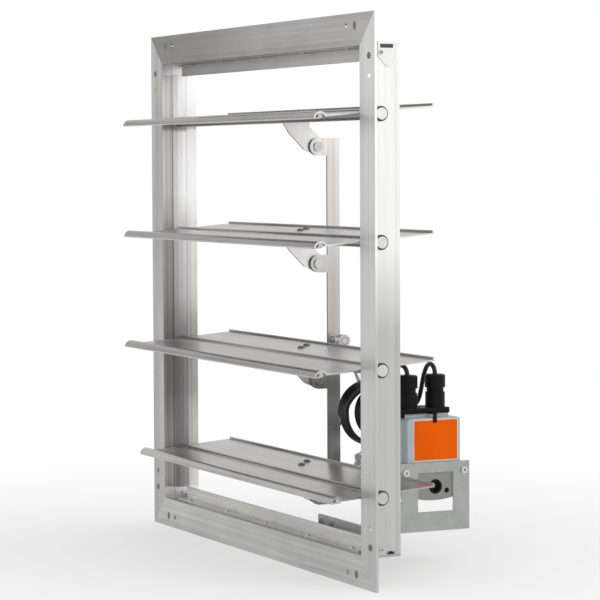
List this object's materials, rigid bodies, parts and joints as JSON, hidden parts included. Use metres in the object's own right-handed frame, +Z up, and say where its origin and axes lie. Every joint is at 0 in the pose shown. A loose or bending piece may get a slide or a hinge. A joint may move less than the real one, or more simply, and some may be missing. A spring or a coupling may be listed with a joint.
{
  "type": "backdraft damper",
  "caption": "Square flanged frame whose parallel blades turn together on stub axles, joined by a tie bar and driven through a rod and crank by a small actuator behind the frame.",
  "frame": {"origin": "centre of the four bolt holes of the top and bottom flanges, at the flange's front face", "axes": "+X along the blades towards the actuator's side, +Y from the flange face towards the rear, +Z up"},
  "size_m": [0.673, 0.2854, 0.673],
  "materials": {
    "frame_aluminium": "mill finish, drawn lengthwise",
    "blade_aluminium": "mill finish, drawn lengthwise",
    "zinc_steel": "zinc plated, satin",
    "bracket_steel": "galvanised, satin",
    "seal_rubber": "matte",
    "dark_steel": "black oxide, satin",
    "housing_plastic": "pale blue-grey, satin",
    "black_plastic": "fine grain",
    "cable_jacket": "smooth, slightly glossy"
  },
  "bodies": {
    "fixed_frame": {"header_rail": "frame_aluminium", "sill_rail": "frame_aluminium", "left_jamb": "frame_aluminium", "right_jamb": "frame_aluminium", "header_stop": "frame_aluminium", "header_gasket": "seal_rubber", "sill_stop": "frame_aluminium", "stop_rivets": "zinc_steel", "left_jamb_seal": "seal_rubber", "right_jamb_seal": "seal_rubber", "corner_clips": "frame_aluminium", "corner_screws": "zinc_steel", "corner_keys": "dark_steel", "bearings": "zinc_steel", "actuator_case": "housing_plastic", "actuator_cover": "housing_plastic", "base_cap": "black_plastic", "bracket": "bracket_steel", "bracket_screws": "zinc_steel", "gland_bodies": "black_plastic", "gland_caps": "black_plastic", "lead_left": "cable_jacket", "lead_right": "cable_jacket", "coil_left": "cable_jacket", "coil_right": "cable_jacket", "cable_ties": "cable_jacket"},
    "moving_blade_1": {"blade_1": "blade_aluminium", "blade_seal_1": "seal_rubber", "axle_1": "zinc_steel", "arm_1": "zinc_steel", "arm_screws_1": "zinc_steel"},
    "moving_blade_2": {"blade_2": "blade_aluminium", "blade_seal_2": "seal_rubber", "axle_2": "zinc_steel", "arm_2": "zinc_steel", "arm_screws_2": "zinc_steel"},
    "moving_blade_3": {"blade_3": "blade_aluminium", "blade_seal_3": "seal_rubber", "axle_3": "zinc_steel", "arm_3": "zinc_steel", "arm_screws_3": "zinc_steel"},
    "moving_blade_4": {"blade_4": "blade_aluminium", "blade_seal_4": "seal_rubber", "axle_4": "zinc_steel", "arm_4": "zinc_steel", "arm_screws_4": "zinc_steel"},
    "moving_linkage": {"tie_bar": "zinc_steel", "pivot_pins": "zinc_steel", "pivot_washers": "zinc_steel", "ball_stud_upper": "zinc_steel", "linkage_rod": "zinc_steel", "rod_end_upper": "zinc_steel", "rod_end_lower": "zinc_steel", "rod_nuts": "zinc_steel"},
    "moving_crank": {"ball_stud_lower": "zinc_steel", "crank_arm": "zinc_steel", "crank_shaft": "zinc_steel", "crank_u_bolt": "zinc_steel", "crank_nuts": "zinc_steel", "drive_sleeve": "black_plastic"}
  },
  "joints": [
    {"name": "blade_1_turn", "type": "hinge", "parent": "fixed_frame", "child": "moving_blade_1", "pos_m": [0, 0.0254, 0.2194], "axis": [1, 0, 0], "range_deg": [0, 82.5]},
    {"name": "blade_2_turn", "type": "hinge", "parent": "fixed_frame", "child": "moving_blade_2", "pos_m": [0, 0.0254, 0.0692], "axis": [1, 0, 0], "range_deg": [0, 82.5]},
    {"name": "blade_3_turn", "type": "hinge", "parent": "fixed_frame", "child": "moving_blade_3", "pos_m": [0, 0.0254, -0.081], "axis": [1, 0, 0], "range_deg": [0, 82.5]},
    {"name": "blade_4_turn", "type": "hinge", "parent": "fixed_frame", "child": "moving_blade_4", "pos_m": [0, 0.0254, -0.2312], "axis": [1, 0, 0], "range_deg": [0, 82.5]},
    {"name": "linkage_turn", "type": "hinge", "parent": "moving_blade_1", "child": "moving_linkage", "pos_m": [0, 0.09101, 0.1832], "axis": [1, 0, 0], "range_deg": [-82.5, 0]},
    {"name": "crank_turn", "type": "hinge", "parent": "fixed_frame", "child": "moving_crank", "pos_m": [0.17, 0.1533, -0.2364], "axis": [1, 0, 0], "range_deg": [0, 82.5]}
  ],
  "couplings": [
    {"joint": "blade_2_turn", "follows": "blade_1_turn", "ratio": 1},
    {"joint": "blade_3_turn", "follows": "blade_1_turn", "ratio": 1},
    {"joint": "blade_4_turn", "follows": "blade_1_turn", "ratio": 1},
    {"joint": "linkage_turn", "follows": "blade_1_turn", "ratio": -1},
    {"joint": "crank_turn", "follows": "blade_1_turn", "ratio": 1}
  ]
}
